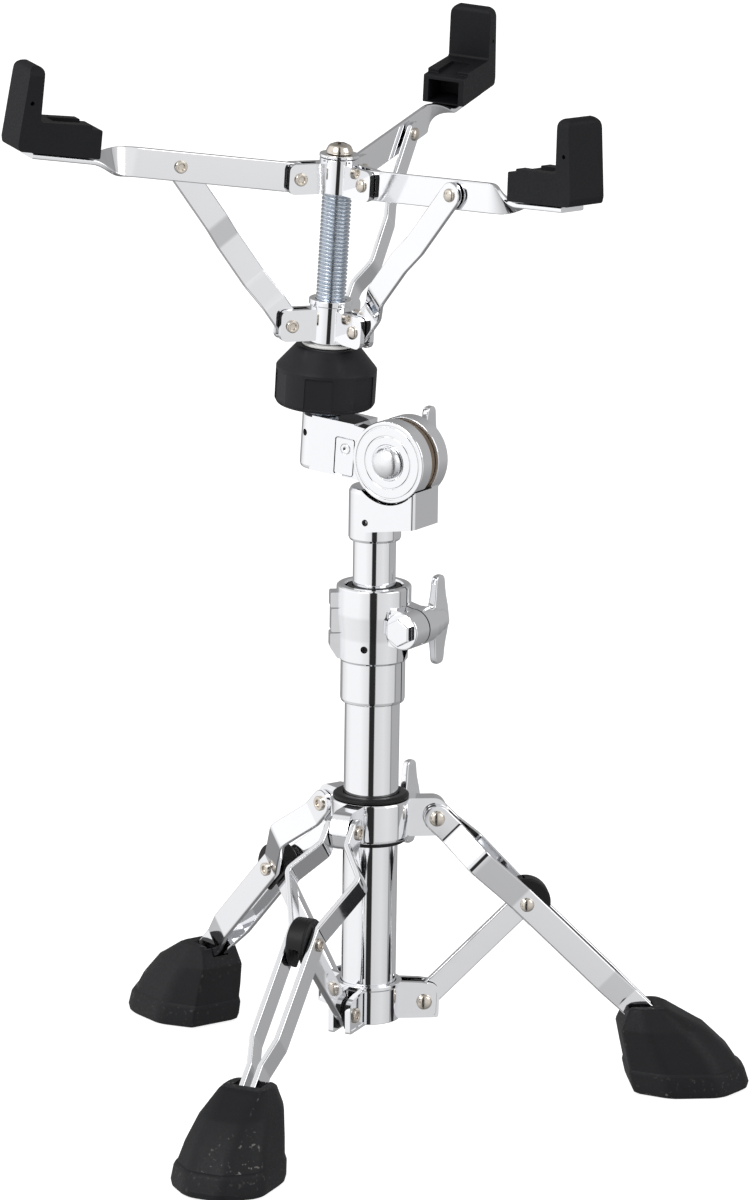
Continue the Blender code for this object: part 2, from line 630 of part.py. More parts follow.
def make_tripod(column):
    collar = add_empty("collar_slide", column, None)
    make_sliding_collar(collar)
    for number, azimuth in enumerate(LEG_AZIMUTHS, 1):
        leg = add_empty(f"leg_{number}_pivot", column @ frame_at(azimuth, polar(azimuth, *LEG_PIVOT)), collar)
        make_leg(number, leg)
        rivet(f"leg_{number}_rivet", leg, 8.3)
        brace = add_empty(f"brace_{number}_pivot", column @ frame_at(azimuth, polar(azimuth, *BRACE_PIVOT)))
        make_brace(number, brace)
        rivet(f"brace_{number}_rivet", brace, 6.2)


def make_basket(tilt, basket_frame):
    basket = add_empty("basket", basket_frame, tilt)
    slider = add_empty("hub_slide", basket_frame, basket)
    knob = add_empty("knob_turn", basket_frame, slider)
    make_rod(basket)
    make_hubs(basket, slider)
    make_knob(knob)
    for number, azimuth in enumerate(ARM_AZIMUTHS, 1):
        arm_place = basket_frame @ frame_at(azimuth, polar(azimuth, *ARM_PIVOT))
        arm = add_empty(f"arm_{number}_pivot", arm_place, basket)
        make_arm(number, arm)
        make_pad(number, arm)
        rivet(f"arm_{number}_rivet", arm, 4.7, 1.9, 3.6)
        strut_place = basket_frame @ frame_at(azimuth, polar(azimuth, *STRUT_PIVOT))
        strut = add_empty(f"strut_{number}_pivot", strut_place, slider)
        make_strut(number, strut)
        rivet(f"strut_{number}_rivet", strut, 4.7, 1.9, 3.6)


def main():
    clear_scene()
    column = Matrix.Translation((COLUMN_X, COLUMN_Y, 0))
    fixed = add_empty("column", column)
    make_column(fixed)
    make_clamp_wing_nut(fixed)
    make_tripod(column)
    swivel = add_empty("tube_swivel", column, fixed)
    mast = add_empty("tube_slide", column, swivel)
    make_height_tube(swivel, mast)
    make_tilter_base(mast)
    axle_frame = column @ frame_at(AXLE_AZIMUTH - 90, polar(AXLE_AZIMUTH - 90, TILT_OFFSET, TILT_Z))
    lean = Matrix.Rotation(math.radians(TILT_REST), 4, "Y")
    tilt = add_empty("tilt_axle", axle_frame @ lean, mast)
    make_tilter_arm(tilt)
    make_wing_nut("tilter_wing_nut", tilt, along_y(0, 0), 12.4, 3.9)
    basket_origin = polar(AXLE_AZIMUTH - 90, BASKET_OFFSET, BASKET_Z)
    make_basket(tilt, column @ Matrix.Translation(basket_origin)
                @ Matrix.Rotation(math.radians(AXLE_AZIMUTH - 90), 4, "Z") @ lean
                @ Matrix.Rotation(math.radians(90 - AXLE_AZIMUTH), 4, "Z"))


main()
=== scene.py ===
"""Looks of the snare drum stand: chrome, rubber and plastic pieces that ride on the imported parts.

Shapes are made in millimetres in the frame of the assembly they belong to, and each assembly's
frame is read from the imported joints, so a piece follows its CAD part if that is moved.
"""

import json
import math

import bmesh
import bpy
from mathutils import Matrix, Vector

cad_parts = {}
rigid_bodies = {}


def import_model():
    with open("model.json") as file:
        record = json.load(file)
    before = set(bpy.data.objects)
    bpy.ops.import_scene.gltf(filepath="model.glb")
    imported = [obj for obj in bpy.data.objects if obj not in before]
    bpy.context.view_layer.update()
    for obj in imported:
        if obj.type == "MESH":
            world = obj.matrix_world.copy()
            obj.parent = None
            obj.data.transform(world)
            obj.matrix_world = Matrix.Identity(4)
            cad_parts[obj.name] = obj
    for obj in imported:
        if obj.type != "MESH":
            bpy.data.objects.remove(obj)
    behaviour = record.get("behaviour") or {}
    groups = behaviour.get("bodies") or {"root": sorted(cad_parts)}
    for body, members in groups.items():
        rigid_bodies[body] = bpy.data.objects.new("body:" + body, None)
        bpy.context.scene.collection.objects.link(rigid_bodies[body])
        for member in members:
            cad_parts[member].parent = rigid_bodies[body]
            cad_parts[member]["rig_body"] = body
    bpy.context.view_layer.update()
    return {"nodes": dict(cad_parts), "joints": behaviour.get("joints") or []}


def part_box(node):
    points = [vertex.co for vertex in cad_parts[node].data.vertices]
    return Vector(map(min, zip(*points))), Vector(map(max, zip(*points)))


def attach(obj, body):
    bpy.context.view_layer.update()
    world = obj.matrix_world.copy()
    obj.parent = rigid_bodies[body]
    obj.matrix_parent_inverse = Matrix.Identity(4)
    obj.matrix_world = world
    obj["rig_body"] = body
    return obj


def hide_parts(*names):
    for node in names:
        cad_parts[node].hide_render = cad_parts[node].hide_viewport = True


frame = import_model()

MM = 0.001
SIDES = 96
SMALL_SIDES = 40
FINE = 15
SHARP_ANGLE = 42
UP = Vector((0, 0, 1))
NUMBERS = (1, 2, 3)
JOINTS = {joint["name"]: joint for joint in frame["joints"]}
HELPERS = {}

# Tripod, in the plane of each leg: (distance from the column, height).
LEG_PIVOT = (33.95, 150.0)
BRACE_TIP = (81.98, 102.7)
BRACE_PIVOT = (28.97, 50.0)
LEG_THICK = 3.0
LEG_LINE = [(0, 6.9), (11.5, 7.0), (29.5, 20.2), (62.0, 7.0), (127.0, 6.9), (143.0, 3.1), (161.0, 3.1)]

# Basket, in the plane of each arm: (distance from the rod, height along it).
ARM_PIVOT = (22.9, 54.4)
STRUT_TIP = (88.4, 62.5)
STRUT_PIVOT = (22.9, -22.3)
STRUT_STEPS = ((0.0, 0.0), (0.15, 0.0), (0.27, -6.5), (0.52, -6.5), (0.64, -3.55), (1.0, -3.55))
TWIST_START = 90.0
TWIST_LENGTH = 27.0
ROD_R = 7.7
THREAD_PITCH = 2.0

# Clamp bolt and tilter.
CLAMP_BOLT_OFFSET = 24.0
CLAMP_BOLT_Z = 254.0
TILT_OFFSET = 15.0
TILT_Z = 342.0
DISC_R = 21.5
ARM_LOW = -98.4
ARM_HIGH = -69.6


def joint_point(name):
    return Vector(JOINTS[name]["pos_m"])


def joint_axis(name):
    return Vector(JOINTS[name]["axis"])


def frame_from(origin, y_axis, up):
    """A frame at origin whose Y and Z are the given directions."""
    matrix = Matrix((y_axis.cross(up), y_axis, up)).transposed().to_4x4()
    matrix.translation = origin
    return matrix


def column_origin():
    low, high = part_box("base_tube")
    middle = (low + high) / 2
    return Vector((middle.x, middle.y, 0))


COLUMN = Matrix.Translation(column_origin())
CLAMP = frame_from(column_origin(), joint_axis("clamp_wing_turn"), UP)
COLUMN_TO_CLAMP = CLAMP.inverted() @ COLUMN
COLLAR_BOLT = frame_from(column_origin(), joint_axis("collar_wing_turn"), UP)
BASKET_UP = joint_axis("knob_turn")
TILT = frame_from(joint_point("tilt"), joint_axis("tilt"), BASKET_UP)
ROD = frame_from(joint_point("knob_turn"), joint_axis("tilt"), BASKET_UP)
LEGS = {k: frame_from(column_origin(), joint_axis(f"leg_{k}_fold"), UP) for k in NUMBERS}
ARMS = {k: frame_from(joint_point("knob_turn"), -joint_axis(f"arm_{k}_fold"), BASKET_UP) for k in NUMBERS}


# ---------------------------------------------------------------- shapes

def fillet(points, radius, closed=True, steps=None):
    """Rounds the corners of a flat outline. A point's third number is its own radius."""
    result = []
    last = len(points) - 1
    for i, point in enumerate(points):
        corner = Vector(point[:2])
        size = point[2] if len(point) > 2 else radius
        before = Vector(points[i - 1][:2]) - corner
        after = Vector(points[(i + 1) % len(points)][:2]) - corner
        if size == 0 or (not closed and i in (0, last)) or before.angle(after) > math.radians(179):
            result.append(corner)
            continue
        half = before.angle(after) / 2
        reach = min(size / math.tan(half), before.length * 0.48, after.length * 0.48)
        size = reach * math.tan(half)
        before.normalize()
        after.normalize()
        centre = corner + (before + after).normalized() * (size / math.sin(half))
        first = corner + before * reach - centre
        turn = math.pi - 2 * half
        if first.cross(corner + after * reach - centre) < 0:
            turn = -turn
        count = steps or max(2, math.ceil(abs(turn) / math.radians(FINE)))
        for k in range(count + 1):
            angle = turn * k / count
            result.append(centre + Vector((first.x * math.cos(angle) - first.y * math.sin(angle),
                                           first.x * math.sin(angle) + first.y * math.cos(angle))))
    return result


def loft(rings, caps=True):
    """A solid through rings that all have the same number of points."""
    shape = bmesh.new()
    rows = [[shape.verts.new(point) for point in ring] for ring in rings]
    count = len(rows[0])
    for low, high in zip(rows, rows[1:]):
        for i in range(count):
            j = (i + 1) % count
            shape.faces.new((low[i], low[j], high[j], high[i]))
    if caps:
        shape.faces.new(rows[0])
        shape.faces.new(rows[-1])
    return shape


def spun(profile, radius=0.4, sides=SIDES):
    """A solid of revolution about Z with rounded corners. A profile that doesn't start on the axis
    is closed from its last point to its first."""
    closed = profile[0][0] != 0
    shape = bmesh.new()
    rows = []
    for point in fillet(profile, radius, closed):
        if point.x < 1e-6:
            rows.append([shape.verts.new((0, 0, point.y))])
            continue
        angles = [2 * math.pi * i / sides for i in range(sides)]
        rows.append([shape.verts.new((point.x * math.cos(a), point.x * math.sin(a), point.y)) for a in angles])
    pairs = [(low, high) for low, high in zip(rows, rows[1:]) if len(low) + len(high) > 2]
    if closed:
        pairs.append((rows[-1], rows[0]))
    for low, high in pairs:
        for i in range(sides):
            j = (i + 1) % sides
            corners = [low[i % len(low)], low[j % len(low)], high[j % len(high)], high[i % len(high)]]
            corners = list(dict.fromkeys(corners))
            if len(corners) > 2:
                shape.faces.new(corners)
    return shape


def slab(outline, low, high, radius=0.0):
    """A flat outline of (x, z) points with rounded corners, given depth along Y."""
    points = fillet(outline, radius) if radius else [Vector(point[:2]) for point in outline]
    return loft([[(p.x, y, p.y) for p in points] for y in (low, high)])


def block(low, high):
    (x0, y0, z0), (x1, y1, z1) = low, high
    return slab([(x0, z0), (x1, z0), (x1, z1), (x0, z1)], y0, y1)


def rod(radius, low, high, sides=SMALL_SIDES):
    return spun([(0, low), (radius, low, 0), (radius, high, 0), (0, high)], 0, sides)


def section(half_thick, half_height, corner, steps=3):
    """A rounded rectangle as (across, up) points."""
    corner = min(corner, half_thick * 0.95, half_height * 0.95)
    points = []
    for side, top, start in ((1, 1, 0), (-1, 1, 90), (-1, -1, 180), (1, -1, 270)):
        for k in range(steps + 1):
            angle = math.radians(start + 90 * k / steps)
            points.append((side * (half_thick - corner) + corner * math.cos(angle),
                           top * (half_height - corner) + corner * math.sin(angle)))
    return points


def bar(line, thick, half_height, corner=0.7, bend=4.0, twist=None, round_start=True, round_end=True):
    """A flat bar on edge along a line of (x, y) points with half-round ends. twist gives
    (degrees, drop) at a distance along X."""
    points = fillet(line, bend, closed=False)
    caps = [(math.cos(math.radians(a)), math.sin(math.radians(a))) for a in (3, 10, 20, 32, 46, 62, 78)]
    stations = [(point, half_height) for point in points]
    if round_start:
        out = (points[0] - points[1]).normalized() * half_height
        stations = [(points[0] + out * c, half_height * s) for c, s in caps] + stations
    if round_end:
        out = (points[-1] - points[-2]).normalized() * half_height
        stations += [(points[-1] + out * c, half_height * s) for c, s in reversed(caps)]
    rings = []
    for i, (point, half) in enumerate(stations):
        along = stations[min(i + 1, len(stations) - 1)][0] - stations[max(i - 1, 0)][0]
        along.normalize()
        turn, drop = twist(point.x) if twist else (0, 0)
        cos, sin = math.cos(math.radians(turn)), math.sin(math.radians(turn))
        ring = []
        for across, up in section(thick / 2, half, corner):
            y, z = across * cos - up * sin, across * sin + up * cos
            ring.append((point.x - along.y * y, point.y + along.x * y, z + drop))
        rings.append(ring)
    return loft(rings)


# ---------------------------------------------------------------- placing

def along_y(x, z):
    """Turns a shape made along Z so that it lies along Y at the given x and z."""
    return Matrix.Translation((x, 0, z)) @ Matrix.Rotation(-math.pi / 2, 4, "X")


def along_minus_y(x, z):
    return Matrix.Translation((x, 0, z)) @ Matrix.Rotation(math.pi / 2, 4, "X")


def about_z(degrees):
    return Matrix.Rotation(math.radians(degrees), 4, "Z")


def between(start, end):
    """(frame at start whose X points to end, distance) for two points of a vertical plane."""
    dx, dz = end[0] - start[0], end[1] - start[1]
    turn = Matrix.Rotation(-math.atan2(dz, dx), 4, "Y")
    return Matrix.Translation((start[0], 0, start[1])) @ turn, math.hypot(dx, dz)


def make_item(name, shape, place, inside=None):
    """An object from a shape in millimetres, moved by inside within the assembly's frame."""
    bmesh.ops.recalc_face_normals(shape, faces=shape.faces)
    if inside:
        bmesh.ops.transform(shape, matrix=inside, verts=shape.verts)
    bmesh.ops.scale(shape, vec=(MM, MM, MM), verts=shape.verts)
    mesh = bpy.data.meshes.new(name)
    shape.to_mesh(mesh)
    shape.free()
    item = bpy.data.objects.new(name, mesh)
    bpy.context.scene.collection.objects.link(item)
    item.matrix_world = place
    HELPERS[item.name] = []
    return item


def boolean(item, shape, inside, operation):
    helper = make_item(item.name + "_tool", shape, item.matrix_world, inside)
    HELPERS[item.name].append(helper)
    modifier = item.modifiers.new(operation.lower(), "BOOLEAN")
    modifier.operation = operation
    modifier.solver = "EXACT"
    modifier.object = helper


def cut(item, shape, inside=None):
    boolean(item, shape, inside, "DIFFERENCE")


def join(item, shape, inside=None):
    boolean(item, shape, inside, "UNION")


def keep_inside(item, shape, inside=None):
    boolean(item, shape, inside, "INTERSECT")


def bake(item):
    """Replaces an object's mesh by what its modifiers make of it."""
    bpy.context.view_layer.update()
    graph = bpy.context.evaluated_depsgraph_get()
    mesh = bpy.data.meshes.new_from_object(item.evaluated_get(graph), depsgraph=graph)
    item.modifiers.clear()
    old = item.data
    item.data = mesh
    bpy.data.meshes.remove(old)
    for helper in HELPERS.pop(item.name):
        tool_mesh = helper.data
        HELPERS.pop(helper.name, None)
        bpy.data.objects.remove(helper)
        bpy.data.meshes.remove(tool_mesh)


def finish_piece(item, kind, node=None, body=None, bevel=0.0, angle=30, segments=3):
    """Rounds the edges, smooths the shading, gives the finish and hands the piece to its body.
    A piece with a node stands for it, and one without rides on the named body."""
    if item.modifiers:
        bake(item)
        HELPERS[item.name] = []
    if bevel:
        rounding = item.modifiers.new("bevel", "BEVEL")
        rounding.width = bevel * MM
        rounding.segments = segments
        rounding.limit_method = "ANGLE"
        rounding.angle_limit = math.radians(angle)
        rounding.use_clamp_overlap = True
        rounding.miter_outer = "MITER_ARC"
        bake(item)
        HELPERS[item.name] = []
    item.data.shade_smooth()
    item.data.set_sharp_from_angle(angle=math.radians(SHARP_ANGLE))
    weights = item.modifiers.new("normals", "WEIGHTED_NORMAL")
    weights.weight = 60
    weights.keep_sharp = True
    bake(item)
    item.data.materials.clear()
    item.data.materials.append(FINISHES[kind])
    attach(item, body or frame["nodes"][node]["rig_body"])
    if node:
        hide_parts(node)
    return item


def simple(node, shape, place, kind, inside=None, bevel=0.0, angle=30):
    return finish_piece(make_item("shown_" + node, shape, place, inside), kind, node, bevel=bevel, angle=angle)


def extra(name, shape, place, kind, body, inside=None, bevel=0.0, angle=30):
    return finish_piece(make_item(name, shape, place, inside), kind, body=body, bevel=bevel, angle=angle)


# ---------------------------------------------------------------- finishes

def new_material(name):
    material = bpy.data.materials.new(name)
    material.use_nodes = True
    nodes = material.node_tree.nodes
    return material, nodes, material.node_tree.links, nodes["Principled BSDF"]


def noise_node(nodes, links, scale, detail):
    coordinates = nodes.new("ShaderNodeTexCoord")
    noise = nodes.new("ShaderNodeTexNoise")
    noise.inputs["Scale"].default_value = scale
    noise.inputs["Detail"].default_value = detail
    links.new(coordinates.outputs["Object"], noise.inputs["Vector"])
    return noise


def ranged(nodes, links, source, low, high, start=0.3, end=0.7):
    spread = nodes.new("ShaderNodeMapRange")
    spread.inputs["From Min"].default_value = start
    spread.inputs["From Max"].default_value = end
    spread.inputs["To Min"].default_value = low
    spread.inputs["To Max"].default_value = high
    links.new(source, spread.inputs["Value"])
    return spread.outputs["Result"]


def bumped(nodes, links, shader, source, strength, distance):
    bump = nodes.new("ShaderNodeBump")
    bump.inputs["Strength"].default_value = strength
    bump.inputs["Distance"].default_value = distance
    links.new(source, bump.inputs["Height"])
    links.new(bump.outputs["Normal"], shader.inputs["Normal"])


def metal(name, colour, rough_low, rough_high, grain=250.0, bump=0.02):
    """A plated metal whose polish and colour vary a little over its surface."""
    material, nodes, links, shader = new_material(name)
    shader.inputs["Metallic"].default_value = 1.0
    fine = noise_node(nodes, links, grain, 4.0)
    broad = noise_node(nodes, links, 22.0, 2.0)
    links.new(ranged(nodes, links, fine.outputs["Fac"], rough_low, rough_high), shader.inputs["Roughness"])
    mix = nodes.new("ShaderNodeMix")
    mix.data_type = "RGBA"
    mix.inputs["A"].default_value = (*[c * 0.965 for c in colour], 1.0)
    mix.inputs["B"].default_value = (*colour, 1.0)
    links.new(broad.outputs["Fac"], mix.inputs["Factor"])
    links.new(mix.outputs["Result"], shader.inputs["Base Color"])
    bumped(nodes, links, shader, broad.outputs["Fac"], bump, 0.0004)
    return material


def moulded(name, dark, light, roughness, grain, bump, specular, scuffs=0.0):
    """A moulded plastic or rubber with a fine grain, and pale scuffs on its edges if asked for."""
    material, nodes, links, shader = new_material(name)
    shader.inputs["Specular IOR Level"].default_value = specular
    fine = noise_node(nodes, links, grain, 6.0)
    broad = noise_node(nodes, links, 45.0, 3.0)
    mix = nodes.new("ShaderNodeMix")
    mix.data_type = "RGBA"
    mix.inputs["A"].default_value = (*dark, 1.0)
    mix.inputs["B"].default_value = (*light, 1.0)
    links.new(broad.outputs["Fac"], mix.inputs["Factor"])
    colour = mix.outputs["Result"]
    if scuffs:
        geometry = nodes.new("ShaderNodeNewGeometry")
        specks = noise_node(nodes, links, 420.0, 5.0)
        edge = ranged(nodes, links, geometry.outputs["Pointiness"], 0.0, 1.0, 0.52, 0.6)
        spots = ranged(nodes, links, specks.outputs["Fac"], 0.0, 1.0, 0.6, 0.72)
        both = nodes.new("ShaderNodeMath")
        both.operation = "MULTIPLY"
        links.new(edge, both.inputs[0])
        links.new(spots, both.inputs[1])
        share = ranged(nodes, links, both.outputs["Value"], 0.0, scuffs, 0.0, 1.0)
        worn = nodes.new("ShaderNodeMix")
        worn.data_type = "RGBA"
        worn.inputs["B"].default_value = (0.45, 0.43, 0.41, 1.0)
        links.new(share, worn.inputs["Factor"])
        links.new(colour, worn.inputs["A"])
        colour = worn.outputs["Result"]
    links.new(colour, shader.inputs["Base Color"])
    links.new(ranged(nodes, links, fine.outputs["Fac"], roughness - 0.07, roughness + 0.07),
              shader.inputs["Roughness"])
    bumped(nodes, links, shader, fine.outputs["Fac"], bump, 0.0003)
    return material


FINISHES = {
    "chrome": metal("chrome", (0.93, 0.935, 0.95), 0.035, 0.07),
    "satin_chrome": metal("satin_chrome", (0.90, 0.905, 0.92), 0.24, 0.32),
    "rubber": moulded("rubber", (0.003, 0.0032, 0.0045), (0.006, 0.0062, 0.008), 0.6, 900.0, 0.2, 0.25),
    "scuffed_rubber": moulded("scuffed_rubber", (0.003, 0.0032, 0.0045), (0.007, 0.0072, 0.009), 0.55, 900.0, 0.25,
                              0.3, scuffs=0.4),
    "knob_plastic": moulded("knob_plastic", (0.005, 0.0045, 0.0065), (0.009, 0.008, 0.011), 0.5, 1400.0, 0.12, 0.3),
    "black_plastic": moulded("black_plastic", (0.003, 0.003, 0.004), (0.006, 0.006, 0.007), 0.45, 1200.0, 0.08, 0.3),
    "rivet_metal": metal("rivet_metal", (0.74, 0.68, 0.60), 0.14, 0.24),
    "zinc_thread": metal("zinc_thread", (0.66, 0.71, 0.77), 0.2, 0.32),
    "brown_fibre": moulded("brown_fibre", (0.10, 0.075, 0.05), (0.19, 0.14, 0.10), 0.6, 700.0, 0.2, 0.4),
    "white_nylon": moulded("white_nylon", (0.72, 0.72, 0.70), (0.82, 0.82, 0.80), 0.4, 800.0, 0.05, 0.5),
}


# ---------------------------------------------------------------- small parts

def dome_head(reach, radius, height):
    """A domed rivet head that starts at a distance along the axis."""
    profile = [(0, reach), (radius, reach, 0.2), (radius, reach + height * 0.22, 0.3)]
    for angle in (20, 35, 50, 65, 80):
        a = math.radians(angle)
        profile.append((radius * math.cos(a) * 0.98, reach + height * (0.22 + 0.78 * math.sin(a)), 0))
    profile.append((0, reach + height))
    return spun(profile, 0.2, SMALL_SIDES)


def peened_ring(reach, radius, hole, height):
    """A rolled-over hollow rivet end with a sunk middle."""
    profile = [(0, reach), (radius, reach, 0.1), (radius, reach + height, height * 0.55),
               (hole, reach + height, height * 0.45), (hole, reach + height * 0.25, 0.1), (0, reach + height * 0.25)]
    return spun(profile, 0.1, SMALL_SIDES)


def rivet(name, place, kind_node, body, x, z, half, radius, y_shift=0.0):
    """A rivet across a joint: dome on -Y, rolled ring on +Y, shank between."""
    shift = Matrix.Translation((0, y_shift, 0))
    item = make_item(name, rod(radius * 0.5, -half - 0.2, half + 0.2, 20), place, shift @ along_y(x, z))
    join(item, dome_head(half, radius, radius * 0.62), shift @ along_minus_y(x, z))
    join(item, peened_ring(half, radius * 0.96, radius * 0.46, 1.4), shift @ along_y(x, z))
    return finish_piece(item, "rivet_metal", kind_node, body)


def wing_shape(share=1.0):
    """Both wings as one flat plate through the hub, lying along X with Z along the axle. The share
    scales their reach."""
    outline = ((0.0, 7.2, 3.0), (4.0, 6.9, 2.7), (7.0, 6.5, 2.5), (10.0, 5.8, 2.3), (13.0, 5.1, 2.15), (16.0, 4.7, 2.0),
               (19.0, 4.4, 1.95), (21.2, 4.05, 1.9), (22.4, 3.5, 1.8), (23.2, 2.6, 1.6), (23.6, 1.4, 1.1))
    stations = [(-x, h, t) for x, h, t in reversed(outline[1:])] + list(outline)
    rings = [[(x * share, a, b) for a, b in section(thick, half, 1.0, 4)] for x, half, thick in stations]
    return loft(rings)


def wing_nut(node, place, inside, start, middle, end, radius=8.2):
    """A wing nut: a round hub with a domed end, and two upright wings."""
    profile = [(0, start), (radius, start), (radius, start + 6.5, 1.2), (radius - 1.6, start + 8.0, 0.8),
               (radius - 1.6, end - 3.5, 5.0), (0, end + 1.2)]
    item = make_item("shown_" + node, spun(profile, 0.5, 64), place, inside)
    upright = inside @ Matrix.Translation((0, 0, middle)) @ about_z(90)
    join(item, wing_shape(), upright)
    return finish_piece(item, "chrome", node, bevel=0.7, angle=35)


# ---------------------------------------------------------------- column

def make_column():
    simple("base_tube", spun([(12.8, 41.4), (14.3, 41.4), (14.3, 266.0), (12.8, 266.0)], 0.5, 128), COLUMN, "chrome")
    plug = [(0, 42.4, 0), (8.0, 42.4, 1.0), (9.6, 41.6, 0.8), (12.5, 41.6, 0.8), (12.5, 52.0), (0, 52.0)]
    simple("tube_end_plug", spun(plug, 0.4), COLUMN, "black_plastic")
    make_lower_collar()
    make_height_clamp()


def make_lower_collar():
    profile = [(14.6, 41.2), (16.7, 41.2), (16.7, 59.0, 0.4), (17.5, 59.6, 0.3), (17.5, 61.6, 0.5), (14.6, 61.8)]
    item = make_item("shown_lower_collar", spun(profile, 0.4), COLUMN)
    reach, middle = BRACE_PIVOT
    outline = [(15.1, 41.5, 0.6), (reach + 7.6, 41.5, 1.6), (reach + 8.0, middle + 9.0, 7.0),
               (reach - 2.0, middle + 10.6, 5.0), (15.1, 61.2, 0.6)]
    panel = [(18.6, 43.0, 0.5), (reach + 6.2, 43.0, 1.0), (reach + 6.6, middle + 8.0, 6.2),
             (reach - 2.0, middle + 9.2, 4.0), (18.6, 59.8, 0.5)]
    for number in NUMBERS:
        turn = COLUMN.inverted() @ LEGS[number]
        turn.translation = (0, 0, 0)
        for side in (-1, 1):
            low, high = sorted((side * 3.3, side * 6.2))
            join(item, slab(outline, low, high, 1.0), turn)
        for side in (-1, 1):
            low, high = sorted((side * 5.7, side * 8.0))
            cut(item, slab(panel, low, high, 1.0), turn)
    finish_piece(item, "chrome", "lower_collar", bevel=0.35)
    for number in NUMBERS:
        make_rivet_and_bush(number)


def make_rivet_and_bush(number):
    """The brace's rivet in the lower collar, and the black bushes beside the brace."""
    x, z = BRACE_PIVOT
    rivet(f"shown_brace_{number}_rivet", LEGS[number], f"brace_{number}_rivet", None, x, z, 5.8, 4.1)
    for side in (-1, 1):
        low, high = sorted((side * 2.05, side * 3.2))
        outline = [(x - 8.0, z - 7.0), (x + 7.2, z - 7.0), (x + 7.2, z + 7.8), (x - 8.0, z + 10.5)]
        extra(f"brace_{number}_bush_{'right' if side < 0 else 'left'}", slab(outline, low, high, 4.0), LEGS[number],
              "black_plastic", f"brace_{number}", bevel=0.25)


def make_height_clamp():
    profile = [(14.6, 212.2, 0.6), (16.3, 212.2, 0.9), (16.8, 214.0, 1.5), (16.8, 234.2, 0.3), (18.0, 235.2, 0.6),
               (18.2, 247.0, 20.0), (19.4, 259.5, 20.0), (19.4, 273.4, 0.9), (18.4, 274.3, 0.5),
               (15.4, 274.3, 0.5), (14.9, 272.8, 0.4), (14.6, 268.0, 0.2)]
    item = make_item("shown_height_clamp", spun(profile, 0.5, 128), CLAMP)
    bolt = along_y(CLAMP_BOLT_OFFSET, CLAMP_BOLT_Z)
    join(item, spun([(0, -11.0), (9.8, -11.0, 1.0), (9.8, 10.9, 0.8), (0, 10.9)], 0.6, 64), bolt)
    join(item, slab([(15.5, CLAMP_BOLT_Z - 9), (CLAMP_BOLT_OFFSET, CLAMP_BOLT_Z - 9.6),
                     (CLAMP_BOLT_OFFSET, CLAMP_BOLT_Z + 9.6), (15.5, CLAMP_BOLT_Z + 11.5)], -9.6, 9.6, 0.5))
    ribs = CLAMP.inverted() @ COLUMN @ about_z(186)
    for low, high, reach in ((262.7, 270.6, 22.9), (249.6, 262.0, 22.4), (235.6, 248.9, 22.9)):
        rib = [(17.0, low), (reach, low, 0.8), (reach, high, 0.8), (17.0, high)]
        if low < 240:
            rib = [(17.0, low), (19.0, low, 0.6), (reach, low + 6.0, 2.0), (reach, high, 0.8), (17.0, high)]
        join(item, slab(rib, -4.6, 4.6, 0.3), ribs)
    cut(item, rod(14.6, 210, 280, SIDES))
    cut(item, block((12.0, 1.0, 205), (40.0, 1.9, 280)))
    cut(item, rod(1.9, -24, -15, 24), CLAMP.inverted() @ COLUMN @ about_z(-15) @ along_y(0, 243.0))
    finish_piece(item, "chrome", "height_clamp", bevel=0.45)
    screw = CLAMP.inverted() @ COLUMN @ about_z(-15) @ along_minus_y(0, 243.0)
    extra("clamp_set_screw", socket_screw(1.75, 15.0, 17.0, 0.9), CLAMP, "black_plastic", "base", screw)
    item = make_item("shown_clamp_hex_bolt", hex_head(-14.6, -11.3, 7.45), CLAMP, bolt)
    join(item, rod(3.0, -12.0, 27.0, 32), bolt)
    finish_piece(item, "chrome", "clamp_hex_bolt", bevel=0.35)
    wing_nut("clamp_wing_nut", CLAMP, bolt, 11.4, 23.8, 29.6)


def hex_head(low, high, corner_radius):
    """A hexagon bolt head with its outer corners turned off."""
    ring = [(corner_radius * math.cos(math.radians(60 * i + 30)), corner_radius * math.sin(math.radians(60 * i + 30)))
            for i in range(6)]
    inset = [(x * 0.9, y * 0.9) for x, y in ring]
    return loft([[(x, y, low) for x, y in inset], [(x, y, low + 0.7) for x, y in ring], [(x, y, high) for x, y in ring]])


def socket_screw(radius, low, high, hole):
    """A set screw with a hexagon socket in its outer end."""
    shape = spun([(0, low), (radius, low, 0.1), (radius, high, 0.3), (hole, high, 0.1), (hole, high - 0.9, 0.05),
                  (0, high - 0.9)], 0.1, 24)
    return shape


# ---------------------------------------------------------------- tripod

